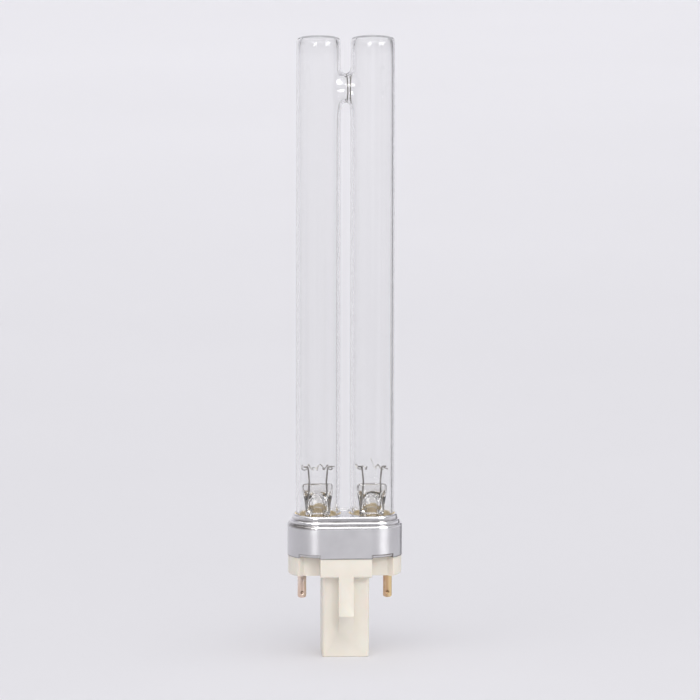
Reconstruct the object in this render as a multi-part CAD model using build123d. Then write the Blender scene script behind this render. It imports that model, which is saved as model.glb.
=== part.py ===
from build123d import *
from math import asin, cos, degrees, radians, sin, tan
import os

# Compact twin-tube ultraviolet lamp on a two-pin cap, in millimetres.
# Z runs up the lamp from the end of its post, X lies along the line of the pins, -Y is the front.

# Lamp as a whole
LAMP_LENGTH = 167.0

# Twin glass tube, blown with a neck that joins the two legs near the top
TUBE_DIAMETER = 11.8
TUBE_WALL = 0.9
TUBE_GAP = 2.7
CROWN_RADIUS = 1.7
CROWN_WALL = 1.0
BRIDGE_DROP = 13.6
BRIDGE_DIAMETER = 7.4
BRIDGE_BORE = 5.4
BRIDGE_FILLET = 1.1

# Pressed glass stem in the foot of each tube
STEM_HEIGHT = 15.3
STEM_DIAMETER = 6.6
STEM_WALL = 0.55
FLARE_RIM = 0.9
FLARE_HEIGHT = 5.5
PRESS_WIDTH = 8.0
PRESS_DEPTH = 2.3
PRESS_HEIGHT = 3.9
PRESS_TAPER = 2.0
PRESS_ROUND = 0.6
EXHAUST_DIAMETER = 3.2
EXHAUST_BORE = 2.0
EXHAUST_TAIL = 4.0
EXHAUST_PORT = 2.6

# Lead-in wires and the coiled cathodes that hang on them
LEAD_DIAMETER = 0.45
LEAD_PITCH = 4.6
LEAD_SPREAD = 5.3
LEAD_RISE = 4.4
LEAD_STUB = 0.8
LEAD_HOOK = 1.2
LEAD_BEND = 0.5
COIL_RADIUS = 0.6
COIL_WIRE = 0.24
COIL_PITCH = 1.65
COIL_TURNS = 5
COIL_CLEARANCE = 0.02

# Drawn aluminium ferrule
FERRULE_HEIGHT = 11.2
FERRULE_SHEET = 0.4
FERRULE_OVERHANG = 0.2
FERRULE_FIT = 0.05
TUBE_END_MARGIN = 2.25
TUBE_SIDE_MARGIN = 2.85
TUBE_HOLE_CLEARANCE = 0.35
STEP_INSET = 0.65
BEAD_HEIGHT = 1.05
LIP_HEIGHT = 1.4
STEP_ROUND = 0.5
STEP_CREASE = 0.12
LOWER_EDGE_ROUND = 0.25
CRIMP_HEIGHT = 1.2
CRIMP_TURN = 38.0
CRIMP_SIDE_GAP = 0.35
CRIMP_END_EASE = 4.5

# Cream base moulding: skirt, post and retention ribs
SKIRT_HEIGHT = 5.2
SKIRT_FLOOR = 1.8
SKIRT_EDGE_ROUND = 0.6
SPIGOT_HEIGHT = 6.6
DECK_HEIGHT = 9.0
POST_WIDTH = 12.6
POST_DEPTH = 11.6
POST_LENGTH = 22.0
POST_WALL = 1.3
POST_END = 1.6
POST_CORNER = 0.8
POST_EDGE_ROUND = 0.3
BOX_MARGIN = 0.6
POCKET_WALL = 2.2
POCKET_ANGLE = 45.0
POCKET_HEADROOM = 0.2
RIB_WIDTH = 4.0
RIB_RISE = 2.75
RIB_LENGTH = 10.4
NOSE_RISE = 0.5
NOSE_HEIGHT = 2.6
RAMP_LENGTH = 4.85
NOSE_ROUND = 0.25

# Hollow brass contact pins
PIN_PITCH = 23.0
PIN_MARGIN = 3.9
PIN_DIAMETER = 2.35
PIN_LENGTH = 6.7
PIN_SHANK = 2.9
PIN_COLLAR = 3.6
PIN_COLLAR_HEIGHT = 0.8
PIN_BORE_CLEARANCE = 0.3
PIN_GRIP = 1.6
PIN_TIP_WALL = 0.7
PIN_TIP_ROUND = 0.55
PIN_DIMPLE = 1.0
PIN_DIMPLE_DEPTH = 0.35
WIRE_SLOT_CLEARANCE = 0.6

# Cement round the tubes
CEMENT_SINK = 0.2

# Glow starter and suppression capacitor inside the post
STARTER_DIAMETER = 5.0
STARTER_LENGTH = 12.0
STARTER_WALL = 0.45
STARTER_SHOULDER = 2.2
STARTER_WIRE = 0.5
STARTER_WIRE_PITCH = 2.6
STARTER_WIRE_RISE = 6.0
STARTER_ELECTRODE = 4.6
BIMETAL_WIDTH = 1.8
BIMETAL_SHEET = 0.2
BIMETAL_LENGTH = 5.4
BIMETAL_RETURN = 3.4
BIMETAL_BEND = 0.6
BIMETAL_WELD = 1.6
CAPACITOR_WIDTH = 7.0
CAPACITOR_DEPTH = 2.0
CAPACITOR_HEIGHT = 6.5
CAPACITOR_ROUND = 0.6
CAPACITOR_WIRE = 0.4
CAPACITOR_WIRE_PITCH = 5.0
STARTER_CLEARANCE = 0.2
JOINT_LENGTH = 3.0
WIRE_TOUCH = 0.01

# Heights of the main levels
SEAT_Z = POST_LENGTH
FERRULE_Z = SEAT_Z + SKIRT_HEIGHT
DECK_Z = SEAT_Z + DECK_HEIGHT
CAP_TOP_Z = FERRULE_Z + FERRULE_HEIGHT
FLOOR_Z = SEAT_Z + SKIRT_FLOOR
STEM_TOP_Z = DECK_Z + STEM_HEIGHT
COIL_Z = STEM_TOP_Z + LEAD_RISE

# Places and outlines that several pieces share
TUBE_RADIUS = TUBE_DIAMETER / 2
TUBE_BORE_RADIUS = TUBE_RADIUS - TUBE_WALL
TUBE_X = (TUBE_DIAMETER + TUBE_GAP) / 2
LEAD_RADIUS = LEAD_DIAMETER / 2
FERRULE_WIDTH = max(2 * TUBE_X + TUBE_DIAMETER + 2 * TUBE_END_MARGIN, PIN_PITCH + 2 * PIN_MARGIN)
FERRULE_DEPTH = max(TUBE_DIAMETER + 2 * TUBE_SIDE_MARGIN, POST_DEPTH + 2 * (RIB_RISE + FERRULE_OVERHANG))
END_RADIUS = FERRULE_DEPTH / 2
END_X = (FERRULE_WIDTH - FERRULE_DEPTH) / 2
BOX_HALF = POST_WIDTH / 2 + BOX_MARGIN
WIRE_SLOT_DEPTH = PIN_COLLAR + 2 * WIRE_SLOT_CLEARANCE
POCKET_FLOOR_Y = WIRE_SLOT_DEPTH / 2 + POCKET_WALL
RIB_FRONT_Y = END_RADIUS - FERRULE_OVERHANG
CRIMP_START = degrees(asin(max(BOX_HALF + CRIMP_SIDE_GAP - END_X, 0) / END_RADIUS))
CRIMP_SWEEP = POCKET_ANGLE - CRIMP_END_EASE - CRIMP_START
LIP_INSET = 2 * STEP_INSET + FERRULE_SHEET
CAVITY_WIDTH = POST_WIDTH - 2 * POST_WALL
CAVITY_DEPTH = POST_DEPTH - 2 * POST_WALL
STARTER_Y = CAVITY_DEPTH / 2 - STARTER_CLEARANCE - STARTER_DIAMETER / 2
STARTER_TOP_Z = POST_END + STARTER_LENGTH
CAPACITOR_Y = STARTER_CLEARANCE + CAPACITOR_DEPTH / 2 - CAVITY_DEPTH / 2
STARTER_WIRE_TOP_Z = STARTER_TOP_Z + STARTER_WIRE_RISE
BASED = (Align.CENTER, Align.CENTER, Align.MIN)
SIDES = {"left": -1, "right": 1}


def stadium(inset):
    """Oval outline of the cap, drawn in by the given inset."""
    return SlotOverall(FERRULE_WIDTH - 2 * inset, FERRULE_DEPTH - 2 * inset)


def oval_block(inset, low, high):
    """Oval block between two heights."""
    return Pos(0, 0, low) * extrude(stadium(inset), high - low)


def rod(radius, low, high, x=0, y=0):
    """Upright round bar between two heights."""
    return Pos(x, y, low) * Cylinder(radius, high - low, align=BASED)


def wire(points, diameter, bends):
    """Round wire along straight runs joined by tangent arcs."""
    path = FilletPolyline(*points, radius=bends)
    start = Plane(origin=path @ 0, z_dir=path % 0)
    return sweep(start * Circle(diameter / 2), path=path)


def both_ends(shape):
    """The shape and its mirror image at the other end of the cap."""
    return shape + mirror(shape, Plane.YZ)


def front_and_back(shape):
    """The shape and its mirror image on the other face of the cap."""
    return shape + mirror(shape, Plane.XZ)


def closed_tube(radius, low, high, crown):
    """Round bar whose top edge is rounded like a blown tube's closed end."""
    bar = rod(radius, low, high)
    return fillet(bar.edges().group_by(Axis.Z)[-1], crown)


def envelope():
    """Both glass legs and the neck between them, blown as one piece."""
    bridge_z = LAMP_LENGTH - BRIDGE_DROP
    leg = Pos(TUBE_X, 0, 0) * closed_tube(TUBE_RADIUS, DECK_Z, LAMP_LENGTH, CROWN_RADIUS)
    bore_top = LAMP_LENGTH - CROWN_WALL
    bore = Pos(TUBE_X, 0, 0) * closed_tube(TUBE_BORE_RADIUS, DECK_Z, bore_top, CROWN_RADIUS - TUBE_WALL)
    across = Pos(0, 0, bridge_z) * Rot(0, 90, 0)
    glass = both_ends(leg) + across * Cylinder(BRIDGE_DIAMETER / 2, 2 * TUBE_X)
    near_neck = BRIDGE_DIAMETER
    joins = [
        edge
        for edge in glass.edges()
        if abs(edge.center().Z - bridge_z) < near_neck and abs(edge.center().X) < TUBE_X
    ]
    glass = fillet(joins, BRIDGE_FILLET)
    return glass - both_ends(bore) - across * Cylinder(BRIDGE_BORE / 2, 2 * TUBE_X)


def upright_face(*edges):
    """Flat face from edges drawn as (distance from the axis, height)."""
    return Plane.XZ * make_face(edges)


def stem(side):
    """Flared glass tube, pressed flat round its two wires, with the exhaust tube fused inside."""
    outer = STEM_DIAMETER / 2
    inner = outer - STEM_WALL
    neck_z = DECK_Z + FLARE_HEIGHT
    press_z = STEM_TOP_Z - PRESS_HEIGHT
    round_z = press_z - PRESS_TAPER
    tail_z = DECK_Z - EXHAUST_TAIL
    rim = (TUBE_BORE_RADIUS, DECK_Z)
    rim_top = (TUBE_BORE_RADIUS, DECK_Z + FLARE_RIM)
    rim_inner = (TUBE_BORE_RADIUS - STEM_WALL, DECK_Z)
    flare = revolve(
        upright_face(
            Line((inner, round_z), (outer, round_z)),
            Line((outer, round_z), (outer, neck_z)),
            TangentArc((outer, neck_z), rim_top, tangent=(0, -1)),
            Line(rim_top, rim),
            Line(rim, rim_inner),
            TangentArc((inner, neck_z), rim_inner, tangent=(0, -1)),
            Line((inner, neck_z), (inner, round_z)),
        )
    )
    flat = RectangleRounded(PRESS_WIDTH, PRESS_DEPTH, PRESS_ROUND)
    taper = loft([Pos(0, 0, round_z) * Circle(outer), Pos(0, 0, press_z) * flat])
    press = fillet(extrude(flat, PRESS_HEIGHT).edges().group_by(Axis.Z)[-1], PRESS_ROUND)
    exhaust = fillet(rod(EXHAUST_DIAMETER / 2, tail_z, round_z).edges().group_by(Axis.Z)[0], PRESS_ROUND)
    glass = flare + taper + Pos(0, 0, press_z) * press + exhaust
    exhaust_wall = (EXHAUST_DIAMETER - EXHAUST_BORE) / 2
    port_z = (round_z + press_z) / 2
    port = Pos(0, 0, port_z) * Rot(90, 0, 0) * Cylinder(EXHAUST_PORT / 2, PRESS_WIDTH / 2, align=BASED)
    glass -= rod(EXHAUST_BORE / 2, tail_z + exhaust_wall, port_z) + port
    for lead_side in (-1, 1):
        glass -= rod(LEAD_RADIUS, round_z, STEM_TOP_Z, x=lead_side * LEAD_PITCH / 2)
    return Pos(side * TUBE_X, 0, 0) * glass


def lead_top(side, away):
    """Hook inside the coil and the run down through the press, for one wire of a stem."""
    tip_x = side * TUBE_X + away * LEAD_SPREAD / 2
    tip_z = COIL_Z + COIL_RADIUS - COIL_WIRE / 2 - LEAD_RADIUS - COIL_CLEARANCE
    press_x = side * TUBE_X + away * LEAD_PITCH / 2
    return [
        (tip_x + away * LEAD_HOOK, 0, tip_z),
        (tip_x, 0, tip_z),
        (press_x, 0, STEM_TOP_Z + LEAD_STUB),
        (press_x, 0, DECK_Z - LEAD_STUB),
    ]


def outer_lead(side):
    """Wire from the outer end of a cathode down into its contact pin."""
    pin_x = side * PIN_PITCH / 2
    pin_top = FLOOR_Z + PIN_COLLAR_HEIGHT
    pin_foot = SEAT_Z - PIN_LENGTH + PIN_TIP_WALL
    points = lead_top(side, side) + [(pin_x, 0, pin_top + LEAD_STUB), (pin_x, 0, pin_foot)]
    return wire(points, LEAD_DIAMETER, LEAD_BEND)


def inner_lead(side):
    """Wire from the inner end of a cathode down to the starter's wire."""
    beside = STARTER_WIRE_PITCH / 2 + STARTER_WIRE / 2 + LEAD_RADIUS + WIRE_TOUCH
    points = lead_top(side, -side) + [
        (side * beside, STARTER_Y, STARTER_WIRE_TOP_Z + LEAD_STUB),
        (side * beside, STARTER_Y, STARTER_WIRE_TOP_Z - JOINT_LENGTH),
    ]
    return wire(points, LEAD_DIAMETER, LEAD_BEND)


def filament(side):
    """Open coil of tungsten wire that hangs on the hooks of its two wires."""
    length = COIL_PITCH * COIL_TURNS
    helix = Helix(COIL_PITCH, length, COIL_RADIUS)
    start = Plane(origin=helix @ 0, z_dir=helix % 0)
    coil = sweep(start * Circle(COIL_WIRE / 2), path=helix, is_frenet=True)
    return Pos(side * TUBE_X + length / 2, 0, COIL_Z) * Rot(0, -90, 0) * coil


def ferrule_section():
    """Section of the drawn sheet, as distance from the end axis and height."""
    bead_z = CAP_TOP_Z - LIP_HEIGHT - BEAD_HEIGHT
    lip_z = CAP_TOP_Z - LIP_HEIGHT
    top_end = LIP_INSET + STEP_ROUND
    sheet = FERRULE_SHEET
    inner_round = STEP_ROUND - sheet
    inner_crease = STEP_CREASE + sheet
    corners = [
        (0, FERRULE_Z, LOWER_EDGE_ROUND),
        (0, bead_z, STEP_ROUND),
        (STEP_INSET, bead_z, STEP_CREASE),
        (STEP_INSET, lip_z, STEP_ROUND),
        (2 * STEP_INSET, lip_z, STEP_CREASE),
        (2 * STEP_INSET, CAP_TOP_Z, STEP_ROUND),
        (top_end, CAP_TOP_Z, 0),
        (top_end, CAP_TOP_Z - sheet, 0),
        (LIP_INSET, CAP_TOP_Z - sheet, 0),
        (LIP_INSET, lip_z - sheet, inner_crease),
        (STEP_INSET + sheet, lip_z - sheet, inner_round),
        (STEP_INSET + sheet, bead_z - sheet, inner_crease),
        (sheet, bead_z - sheet, inner_round),
        (sheet, FERRULE_Z, 0),
    ]
    outline = FilletPolyline(
        *[(END_RADIUS - inset, height) for inset, height, _ in corners],
        radius=[corner for _, _, corner in corners],
        close=True,
    )
    return Plane.XZ * make_face(outline)


def crimp_section():
    """Section of the lower edge where it is pressed inward, as an arc of sheet."""
    top_z = FERRULE_Z + CRIMP_HEIGHT
    outer_bend = CRIMP_HEIGHT / sin(radians(CRIMP_TURN))
    inner_bend = outer_bend - FERRULE_SHEET
    centre = (END_RADIUS - outer_bend, top_z)
    arcs = [CenterArc(centre, bend, -CRIMP_TURN, CRIMP_TURN) for bend in (outer_bend, inner_bend)]
    ends = [Line(arcs[0] @ end, arcs[1] @ end) for end in (0, 1)]
    return upright_face(*arcs, *ends)


def round_end(section, from_front, sweep_angle):
    """Turns a section about the right-hand end axis, from an angle past the front."""
    placed = Pos(END_X, 0, 0) * Rot(0, 0, from_front - 90) * section
    return revolve(placed, Axis((END_X, 0, 0), (0, 0, 1)), sweep_angle)


def ferrule():
    """Drawn aluminium cap with a stepped rim, two tube holes and four crimps."""
    section = ferrule_section()
    flat = extrude(Pos(-END_X, 0, 0) * Rot(0, 0, -90) * section, 2 * END_X, dir=(1, 0, 0))
    cap = both_ends(round_end(section, 0, 180)) + front_and_back(flat)
    cap += oval_block(LIP_INSET + STEP_ROUND, CAP_TOP_Z - FERRULE_SHEET, CAP_TOP_Z)
    hole = TUBE_RADIUS + TUBE_HOLE_CLEARANCE
    cap -= both_ends(rod(hole, CAP_TOP_Z - LIP_HEIGHT, CAP_TOP_Z, x=TUBE_X))
    window = Plane.XZ * Pos(END_RADIUS, FERRULE_Z) * Rectangle(3 * FERRULE_SHEET, 2 * CRIMP_HEIGHT)
    cap -= both_ends(front_and_back(round_end(window, CRIMP_START, CRIMP_SWEEP)))
    cap += both_ends(front_and_back(round_end(crimp_section(), CRIMP_START, CRIMP_SWEEP)))
    return cap


def cement():
    """Cement between the tubes, the ferrule and the cup of the base."""
    under_top = CAP_TOP_Z - FERRULE_SHEET
    block = oval_block(LIP_INSET, DECK_Z, under_top)
    collar = rod(TUBE_RADIUS + TUBE_HOLE_CLEARANCE, under_top, CAP_TOP_Z - CEMENT_SINK, x=TUBE_X)
    return block + both_ends(collar) - both_ends(rod(TUBE_RADIUS, DECK_Z, CAP_TOP_Z, x=TUBE_X))


def crimp_pocket():
    """Room under one crimp, open at the front and below."""
    far = END_RADIUS + POCKET_WALL
    slant = radians(POCKET_ANGLE)
    top_z = FERRULE_Z + CRIMP_HEIGHT + POCKET_HEADROOM
    plan = Polyline(
        (BOX_HALF, -POCKET_FLOOR_Y),
        (END_X + POCKET_FLOOR_Y * tan(slant), -POCKET_FLOOR_Y),
        (END_X + far * sin(slant), -far * cos(slant)),
        (BOX_HALF, -far),
        close=True,
    )
    return extrude(make_face(plan), top_z)


def rib():
    """Retention rib down the front of the post, with a thicker nose and a ramp."""
    nose_z = SEAT_Z - RIB_LENGTH
    top_z = SEAT_Z + SKIRT_EDGE_ROUND
    foot_y = POST_DEPTH / 2 - POST_WALL / 2
    side_view = Polyline(
        (foot_y, top_z),
        (RIB_FRONT_Y, top_z),
        (RIB_FRONT_Y, nose_z + NOSE_HEIGHT),
        (RIB_FRONT_Y + NOSE_RISE, nose_z),
        (POST_DEPTH / 2, nose_z - RAMP_LENGTH),
        (foot_y, nose_z - RAMP_LENGTH),
        close=True,
    )
    left_face = Pos(-RIB_WIDTH / 2, 0, 0) * Rot(0, 0, -90) * upright_face(side_view)
    blade = extrude(left_face, RIB_WIDTH, dir=(1, 0, 0))
    nose = blade.edges().filter_by(Axis.X).sort_by(Axis.Y)[0]
    return fillet(nose, NOSE_ROUND)


def base():
    """Cream moulding: oval skirt and spigot, hollow post, ribs, crimp pockets and wire room."""
    skirt = oval_block(FERRULE_OVERHANG, SEAT_Z, FERRULE_Z)
    skirt = fillet(skirt.edges().group_by(Axis.Z)[0], SKIRT_EDGE_ROUND)
    spigot_top = FERRULE_Z + SPIGOT_HEIGHT
    body = skirt + oval_block(FERRULE_SHEET + FERRULE_FIT, FERRULE_Z, spigot_top)
    body -= both_ends(front_and_back(crimp_pocket()))
    post = extrude(RectangleRounded(POST_WIDTH, POST_DEPTH, POST_CORNER), FERRULE_Z)
    post = fillet(post.edges().group_by(Axis.Z)[0], POST_EDGE_ROUND)
    body += post + front_and_back(rib())
    body -= oval_block(LIP_INSET, DECK_Z, spigot_top)
    body -= Pos(0, 0, POST_END) * extrude(Rectangle(CAVITY_WIDTH, CAVITY_DEPTH), DECK_Z - POST_END)
    slot_length = PIN_PITCH + PIN_COLLAR + 2 * WIRE_SLOT_CLEARANCE
    body -= Pos(0, 0, FLOOR_Z) * extrude(SlotOverall(slot_length, WIRE_SLOT_DEPTH), DECK_HEIGHT - SKIRT_FLOOR)
    return body - both_ends(rod(PIN_SHANK / 2, SEAT_Z, FLOOR_Z, x=PIN_PITCH / 2))


def pin(side):
    """Hollow brass pin, held by a shank and collar in the skirt and dimpled near its tip to grip the wire."""
    radius = PIN_DIAMETER / 2
    tip_z = SEAT_Z - PIN_LENGTH
    grip_z = tip_z + PIN_TIP_WALL
    top_z = FLOOR_Z + PIN_COLLAR_HEIGHT
    body = fillet(rod(radius, tip_z, top_z).edges().group_by(Axis.Z)[0], PIN_TIP_ROUND)
    body += rod(PIN_SHANK / 2, SEAT_Z, FLOOR_Z) + rod(PIN_COLLAR / 2, FLOOR_Z, top_z)
    body -= rod(LEAD_RADIUS, grip_z, top_z)
    body -= rod(LEAD_RADIUS + PIN_BORE_CLEARANCE, grip_z + PIN_GRIP, top_z)
    dent = (PIN_DIMPLE**2 / 4 + PIN_DIMPLE_DEPTH**2) / (2 * PIN_DIMPLE_DEPTH)
    dent_y = dent + radius - PIN_DIMPLE_DEPTH
    body -= front_and_back(Pos(0, -dent_y, grip_z + PIN_GRIP / 2) * Sphere(dent))
    return Pos(side * PIN_PITCH / 2, 0, 0) * body


def starter_bottle():
    """Glass bulb of the glow starter, standing on the closed end of the post."""
    inner = STARTER_DIAMETER / 2 - STARTER_WALL
    bulb = rod(STARTER_DIAMETER / 2, POST_END, STARTER_TOP_Z)
    bulb = fillet(bulb.edges().filter_by(GeomType.CIRCLE), STARTER_WALL)
    bulb -= rod(inner, POST_END + STARTER_WALL, STARTER_TOP_Z - STARTER_SHOULDER)
    for wire_side in (-1, 1):
        bulb -= rod(STARTER_WIRE / 2, POST_END, STARTER_TOP_Z, x=wire_side * STARTER_WIRE_PITCH / 2)
    return Pos(0, STARTER_Y, 0) * bulb


def starter_lead(side):
    """Wire of the glow starter: the left one is its fixed electrode, the right one carries the bimetal."""
    inside_z = STARTER_TOP_Z - STARTER_SHOULDER
    reach = STARTER_ELECTRODE if side < 0 else BIMETAL_WELD
    return rod(
        STARTER_WIRE / 2,
        inside_z - reach,
        STARTER_WIRE_TOP_Z,
        x=side * STARTER_WIRE_PITCH / 2,
        y=STARTER_Y,
    )


def starter_bimetal():
    """Bent bimetal strip, welded to the right-hand wire inside the bulb."""
    weld_x = STARTER_WIRE_PITCH / 2 - STARTER_WIRE / 2 - WIRE_TOUCH - BIMETAL_SHEET / 2
    top_z = STARTER_TOP_Z - STARTER_SHOULDER - STARTER_CLEARANCE
    foot_z = top_z - BIMETAL_LENGTH
    free_x = weld_x - 2 * BIMETAL_BEND - BIMETAL_SHEET
    path = FilletPolyline(
        (weld_x, STARTER_Y, top_z),
        (weld_x, STARTER_Y, foot_z),
        (free_x, STARTER_Y, foot_z),
        (free_x, STARTER_Y, foot_z + BIMETAL_RETURN),
        radius=BIMETAL_BEND,
    )
    start = Plane(origin=path @ 0, x_dir=(0, 1, 0), z_dir=path % 0)
    return sweep(start * Rectangle(BIMETAL_WIDTH, BIMETAL_SHEET), path=path)


def capacitor():
    """Dipped capacitor that stands beside the starter bulb."""
    plan = RectangleRounded(CAPACITOR_WIDTH, CAPACITOR_DEPTH, CAPACITOR_ROUND)
    body = Pos(0, CAPACITOR_Y, POST_END) * extrude(plan, CAPACITOR_HEIGHT)
    return fillet(body.edges().group_by(Axis.Z)[-1], CAPACITOR_ROUND)


def capacitor_leads():
    """Both wires of the capacitor, each led up to the front of a starter wire."""
    front_y = STARTER_Y - STARTER_WIRE / 2 - CAPACITOR_WIRE / 2 - WIRE_TOUCH
    start_z = POST_END + CAPACITOR_HEIGHT
    turn_z = STARTER_TOP_Z + LEAD_STUB
    wires = []
    for side in SIDES.values():
        start_x = side * CAPACITOR_WIRE_PITCH / 2
        end_x = side * STARTER_WIRE_PITCH / 2
        points = [
            (start_x, CAPACITOR_Y, start_z),
            (start_x, CAPACITOR_Y, turn_z),
            (end_x, front_y, STARTER_WIRE_TOP_Z - JOINT_LENGTH),
            (end_x, front_y, STARTER_WIRE_TOP_Z),
        ]
        wires.append(wire(points, CAPACITOR_WIRE, LEAD_BEND))
    return Compound(wires)


nodes = {
    "envelope": envelope(),
    "ferrule": ferrule(),
    "capping_cement": cement(),
    "base": base(),
    "starter_bottle": starter_bottle(),
    "starter_bimetal": starter_bimetal(),
    "capacitor": capacitor(),
    "capacitor_leads": capacitor_leads(),
}
for name, side in SIDES.items():
    nodes[f"{name}_stem"] = stem(side)
    nodes[f"{name}_filament"] = filament(side)
    nodes[f"{name}_outer_lead"] = outer_lead(side)
    nodes[f"{name}_inner_lead"] = inner_lead(side)
    nodes[f"{name}_pin"] = pin(side)
    nodes[f"starter_{name}_lead"] = starter_lead(side)

os.makedirs("parts", exist_ok=True)
for name, shape in nodes.items():
    export_step(shape, f"parts/{name}.step")
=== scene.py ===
from itertools import pairwise
from math import asin, atan2, cos, pi, radians, sin, sqrt

import bmesh
import bpy
from mathutils import Matrix, Vector, noise


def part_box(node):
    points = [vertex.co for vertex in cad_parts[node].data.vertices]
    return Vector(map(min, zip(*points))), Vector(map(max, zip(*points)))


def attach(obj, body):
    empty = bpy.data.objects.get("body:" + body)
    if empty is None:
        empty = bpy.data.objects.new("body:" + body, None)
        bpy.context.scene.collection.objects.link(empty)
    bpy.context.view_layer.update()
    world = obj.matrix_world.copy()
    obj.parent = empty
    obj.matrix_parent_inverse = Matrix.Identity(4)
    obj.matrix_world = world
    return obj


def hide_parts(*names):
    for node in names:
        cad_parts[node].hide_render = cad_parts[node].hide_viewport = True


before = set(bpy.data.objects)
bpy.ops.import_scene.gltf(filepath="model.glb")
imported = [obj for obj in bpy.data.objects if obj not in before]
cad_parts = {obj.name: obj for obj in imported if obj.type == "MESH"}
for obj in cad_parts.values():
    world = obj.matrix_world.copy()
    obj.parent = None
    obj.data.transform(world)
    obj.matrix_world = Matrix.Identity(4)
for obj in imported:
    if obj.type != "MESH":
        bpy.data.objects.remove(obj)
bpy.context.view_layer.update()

# Glass envelope. Two legs of clear drawn quartz tube, each closed flat at the top, with a short neck
# blown and fused between them; the open feet are sealed to the stems and cemented into the cap.
# All sizes are millimetres in the lamp's own frame, and piece() brings them to metres.


def linear(hex_colour):
    """Linear colour of an sRGB hex value."""
    shares = [int(hex_colour[i:i + 2], 16) / 255 for i in (1, 3, 5)]
    return [s / 12.92 if s <= 0.04045 else ((s + 0.055) / 1.055) ** 2.4 for s in shares] + [1.0]


def finish(name, **constants):
    """A new material, with the constants of its surface set on the shader's own sockets."""
    material = bpy.data.materials.new(name)
    material.use_nodes = True
    shader = material.node_tree.nodes["Principled BSDF"]
    for socket, value in constants.items():
        shader.inputs[socket.replace("_", " ")].default_value = value
    return material


def add(owner, kind, values=None, links=None, **settings):
    """Adds a node to a material, with its settings, socket values and links; a stop list fills a ramp."""
    node = owner.node_tree.nodes.new(kind)
    stops = settings.pop("stops", [])
    for name, value in settings.items():
        setattr(node, name, value)
    for socket, value in (values or {}).items():
        node.inputs[socket].default_value = value
    for socket, source in (links or {}).items():
        owner.node_tree.links.new(source, node.inputs[socket])
    for number, (position, colour) in enumerate(stops):
        stop = node.color_ramp.elements[number] if number < 2 else node.color_ramp.elements.new(position)
        stop.position = position
        stop.color = linear(colour)
    return node


def into(material, **sources):
    """Links node outputs to the sockets of the material's shader."""
    shader = material.node_tree.nodes["Principled BSDF"]
    for socket, source in sources.items():
        material.node_tree.links.new(source, shader.inputs[socket.replace("_", " ")])


def points_of(parts):
    """The vertices among what an operator made."""
    return [part for part in parts if isinstance(part, bmesh.types.BMVert)]


def edges_of(parts):
    """The edges among what an operator made, without those that lead back to older vertices."""
    points = set(points_of(parts))
    return [part for part in parts if isinstance(part, bmesh.types.BMEdge) and set(part.verts) <= points]


def ring_edges(ring):
    """The edges at those vertices, each once and in the same order each run."""
    return list(dict.fromkeys(edge for vert in ring for edge in vert.link_edges))


def stack(bm, rows, sides):
    """A skin of rings, each a height with a half width and a half depth, closed at its ends."""
    height, wide, deep = rows[0]
    ring = bmesh.ops.create_circle(bm, segments=sides, radius=1)["verts"]
    place = Matrix.Translation((0, 0, height)) @ Matrix.Diagonal((wide, deep, 1, 1))
    bmesh.ops.transform(bm, matrix=place, verts=ring)
    skin = list(ring)
    edges = ring_edges(ring)
    bmesh.ops.edgeloop_fill(bm, edges=edges)
    for old, new in pairwise(rows):
        grown = bmesh.ops.extrude_edge_only(bm, edges=edges)["geom"]
        ring = points_of(grown)
        edges = edges_of(grown)
        resize = Matrix.Diagonal((new[1] / old[1], new[2] / old[2], 1, 1))
        move = Matrix.Translation((0, 0, new[0])) @ resize @ Matrix.Translation((0, 0, -old[0]))
        bmesh.ops.transform(bm, matrix=move, verts=ring)
        skin += ring
    bmesh.ops.edgeloop_fill(bm, edges=edges)
    return skin


weld = 0.002


def piece(name, bm, material, slot, *nodes, hollow=()):
    """A smooth mesh from a bmesh in millimetres, riding on the lamp in place of those solids."""
    bmesh.ops.remove_doubles(bm, verts=bm.verts, dist=weld)
    bmesh.ops.recalc_face_normals(bm, faces=bm.faces)
    bmesh.ops.reverse_faces(bm, faces=list(hollow))
    bmesh.ops.scale(bm, vec=(0.001, 0.001, 0.001), verts=bm.verts)
    mesh = bpy.data.meshes.new(name)
    bm.to_mesh(mesh)
    bm.free()
    mesh.shade_smooth()
    mesh.materials.append(material)
    made = bpy.data.objects.new(name, mesh)
    bpy.context.collection.objects.link(made)
    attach(made, "root")
    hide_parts(*nodes)
    return made


def soften(made, levels):
    """Rounds a cage of rings into the smooth form that it stands for."""
    modifier = made.modifiers.new("soften", "SUBSURF")
    modifier.levels = levels
    modifier.render_levels = levels


leg_x = 7.25
leg_radius = 5.9
wall = 0.9
leg_foot = 31.0
crown = 167.0
neck_z = 153.4
neck_rim = 4.75
neck_waist = 4.1
neck_half = 3.0
waist_half = 0.4
rim_step = pi / 6
sides = 16
# A ring of flat sides shrinks when it is softened, so the cage starts that much larger.
grow = 3 / (2 + cos(2 * pi / sides))
outer = leg_radius * grow
inner = (leg_radius - wall) * grow
levels = (34, 95, 141, neck_z - neck_half, neck_z, neck_z + neck_half, 160.5)
# Each leg is one skin of rings, each a height and a radius: down its inside from the thin, nearly flat end of
# the bore, and up its outside to the flat top.
rows = [(166.55, 0.6), (166.55, 3.2), (166.45, 4.4), (165.9, 5.05)]
rows += [(level, inner) for level in reversed(levels)] + [(leg_foot, inner), (leg_foot, outer)]
rows += [(level, outer) for level in levels]
rows += [(164.8, outer), (crown, outer), (crown, outer - 2.0), (crown, 1.2)]
glass = bmesh.new()
stack(glass, [(height, radius, radius) for height, radius in rows], sides)
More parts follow.
